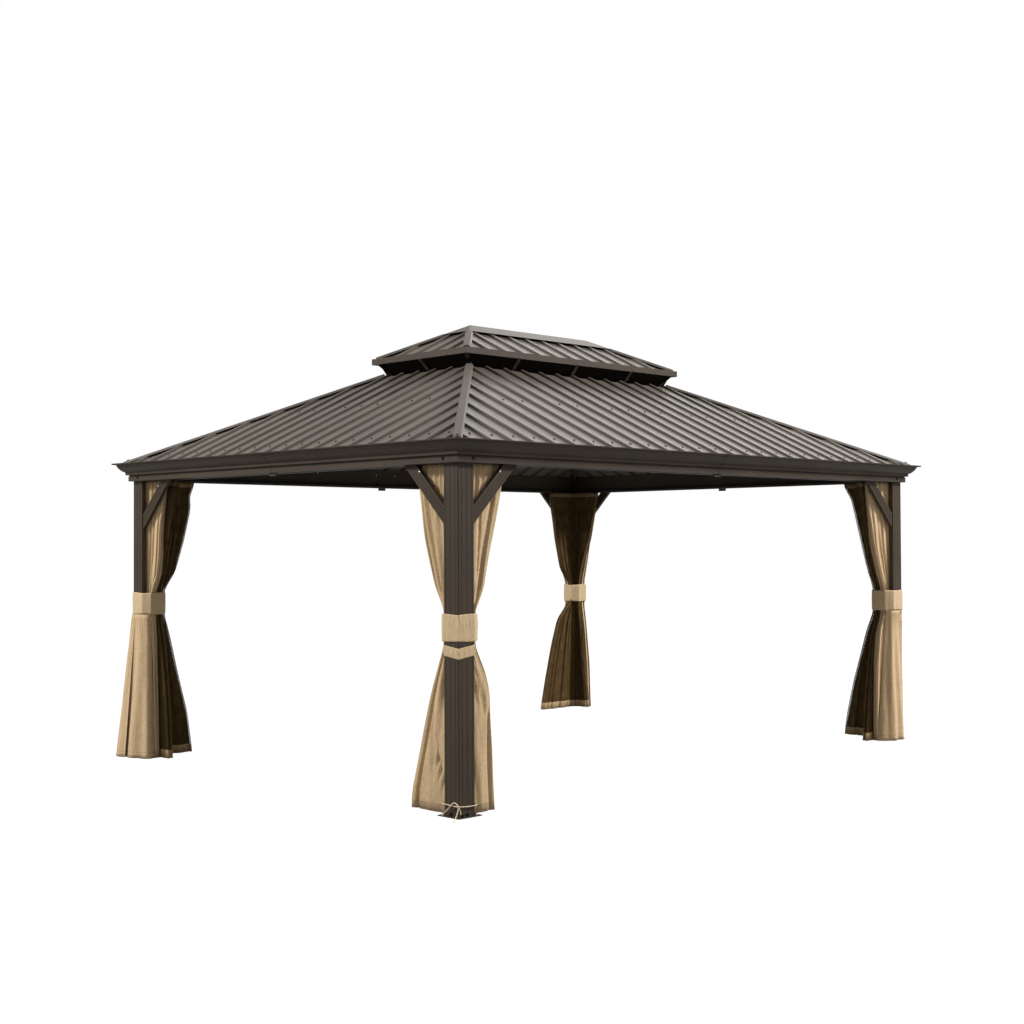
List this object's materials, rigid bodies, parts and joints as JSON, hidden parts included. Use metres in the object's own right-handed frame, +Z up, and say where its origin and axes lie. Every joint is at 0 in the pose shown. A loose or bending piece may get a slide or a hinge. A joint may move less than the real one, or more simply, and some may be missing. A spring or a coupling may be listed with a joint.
{
  "type": "metal gazebo",
  "caption": "Rectangular hardtop gazebo with a vented double hip roof of ribbed metal sheets, crown-moulded beams, braced corner posts, gathered curtains and netting.",
  "frame": {"origin": "middle of the gazebo on the ground", "axes": "+X along the long sides, +Y across to the back, +Z up"},
  "size_m": [4.93, 3.73, 3.1278],
  "materials": {
    "band_cloth": "woven polyester",
    "cord": "twisted",
    "curtain_cloth": "woven polyester",
    "frame_paint": "satin",
    "netting_cloth": "mesh",
    "roof_sheet": "satin",
    "roof_trim": "satin",
    "track_aluminium": "painted",
    "vent_mesh": "coated mesh"
  },
  "bodies": {
    "root": {"base_plates": "frame_paint", "beam_back": "frame_paint", "beam_front": "frame_paint", "beam_left": "frame_paint", "beam_right": "frame_paint", "beam_splices": "frame_paint", "braces_back": "frame_paint", "braces_front": "frame_paint", "braces_left": "frame_paint", "braces_right": "frame_paint", "corner_straps": "band_cloth", "crown_corners": "frame_paint", "curtain_back_left": "curtain_cloth", "curtain_back_right": "curtain_cloth", "curtain_front_left": "curtain_cloth", "curtain_front_right": "curtain_cloth", "curtain_tracks": "track_aluminium", "hip_rafters": "frame_paint", "lower_hip_caps": "roof_trim", "lower_roof_back": "roof_sheet", "lower_roof_front": "roof_sheet", "lower_roof_left": "roof_sheet", "lower_roof_right": "roof_sheet", "netting_back_left": "netting_cloth", "netting_back_right": "netting_cloth", "netting_front_left": "netting_cloth", "netting_front_right": "netting_cloth", "post_back_left": "frame_paint", "post_back_right": "frame_paint", "post_front_left": "frame_paint", "post_front_right": "frame_paint", "purlins": "frame_paint", "rafters": "frame_paint", "ridge_bar": "frame_paint", "ridge_cap": "roof_trim", "struts": "frame_paint", "tie_bands": "band_cloth", "tie_cord": "cord", "tie_knot": "cord", "tie_tail_front": "cord", "tie_tail_left": "cord", "tie_tail_right": "cord", "upper_eave_ring": "frame_paint", "upper_fascia": "frame_paint", "upper_hip_caps": "roof_trim", "upper_rafters": "frame_paint", "upper_roof_back": "roof_sheet", "upper_roof_front": "roof_sheet", "upper_roof_left": "roof_sheet", "upper_roof_right": "roof_sheet", "vent_ring": "frame_paint", "vent_screens": "vent_mesh"}
  },
  "joints": []
}
